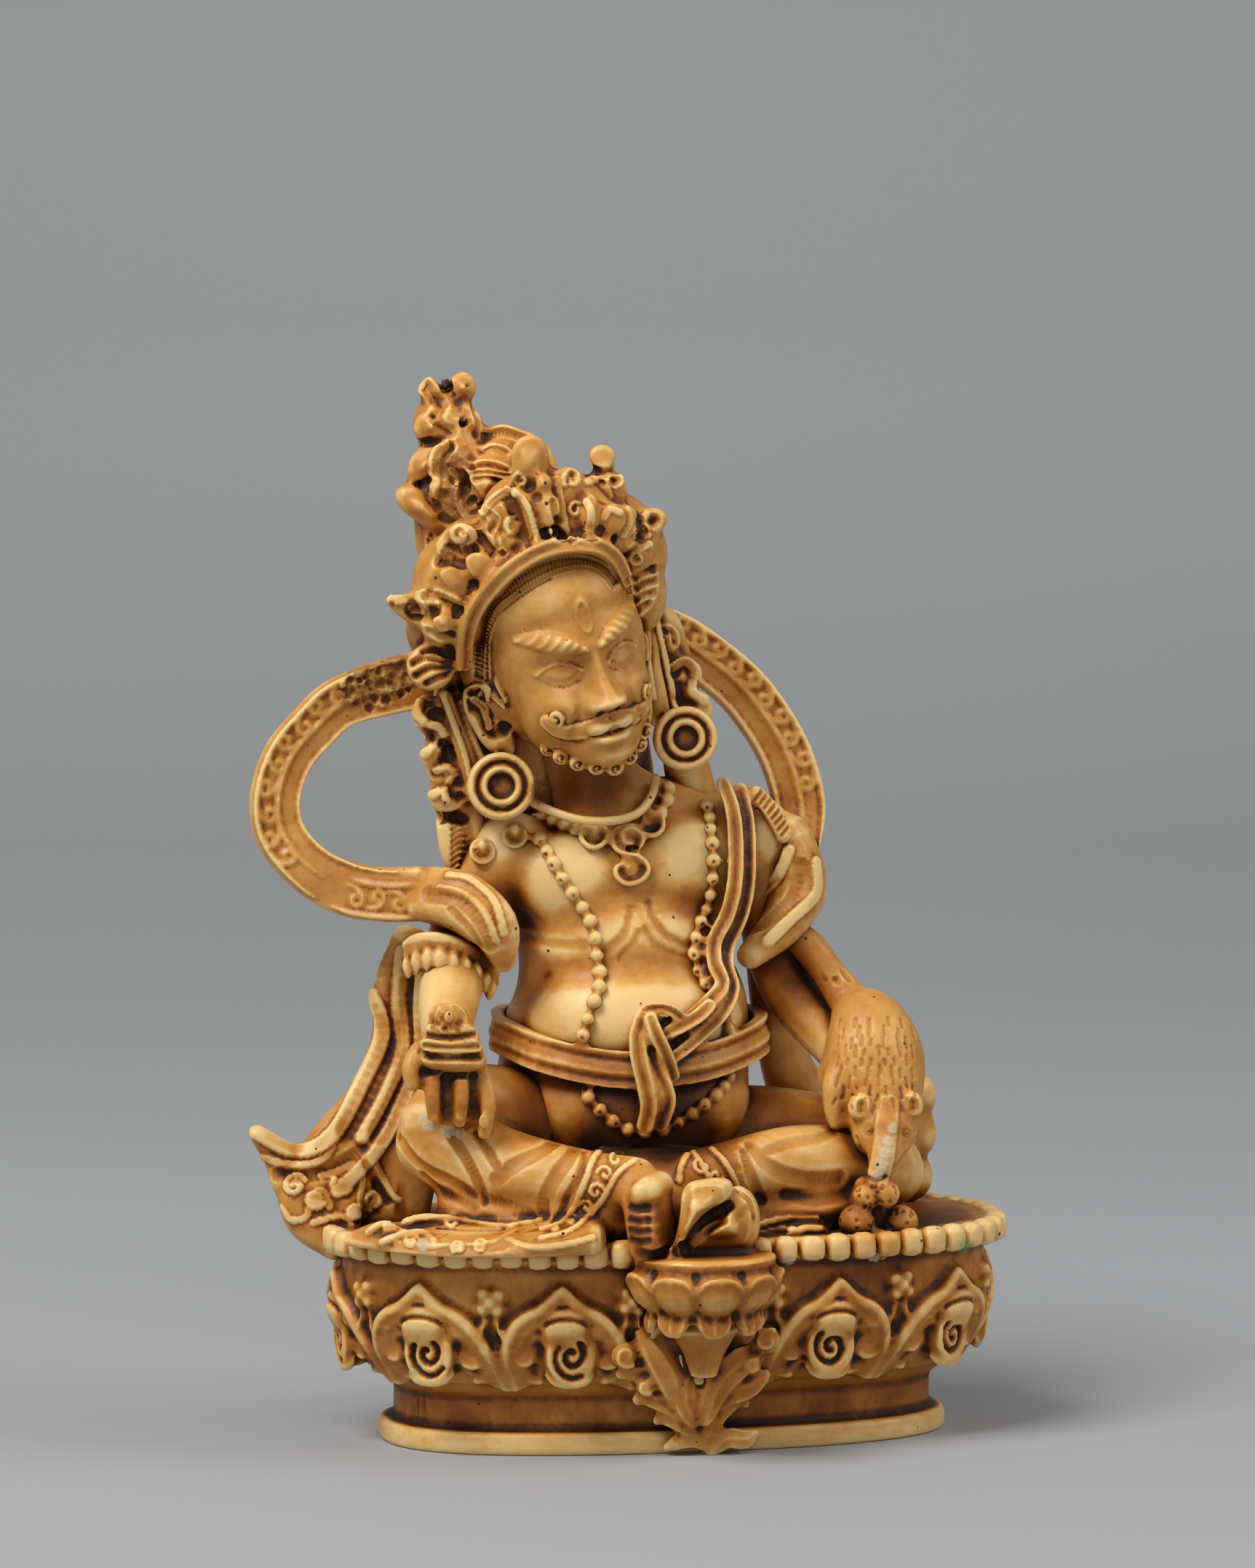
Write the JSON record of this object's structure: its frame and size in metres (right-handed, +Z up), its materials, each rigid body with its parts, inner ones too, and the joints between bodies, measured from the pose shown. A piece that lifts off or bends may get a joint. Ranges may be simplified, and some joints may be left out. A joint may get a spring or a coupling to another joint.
{
  "type": "jambhala statue",
  "caption": "Seated wealth deity with a mongoose on an oval lotus throne, cast in one piece in ivory-coloured resin.",
  "frame": {"origin": "centre of the throne's flat underside", "axes": "+Z up, the way the statue's height runs; the figure looks along -Y; +X is to the right of a viewer who faces it"},
  "size_m": [0.0974, 0.0582, 0.1354],
  "materials": {
    "resin": "satin ivory-coloured resin with brown wash"
  },
  "bodies": {
    "root": {"jambhala_statue": "resin"}
  },
  "joints": []
}
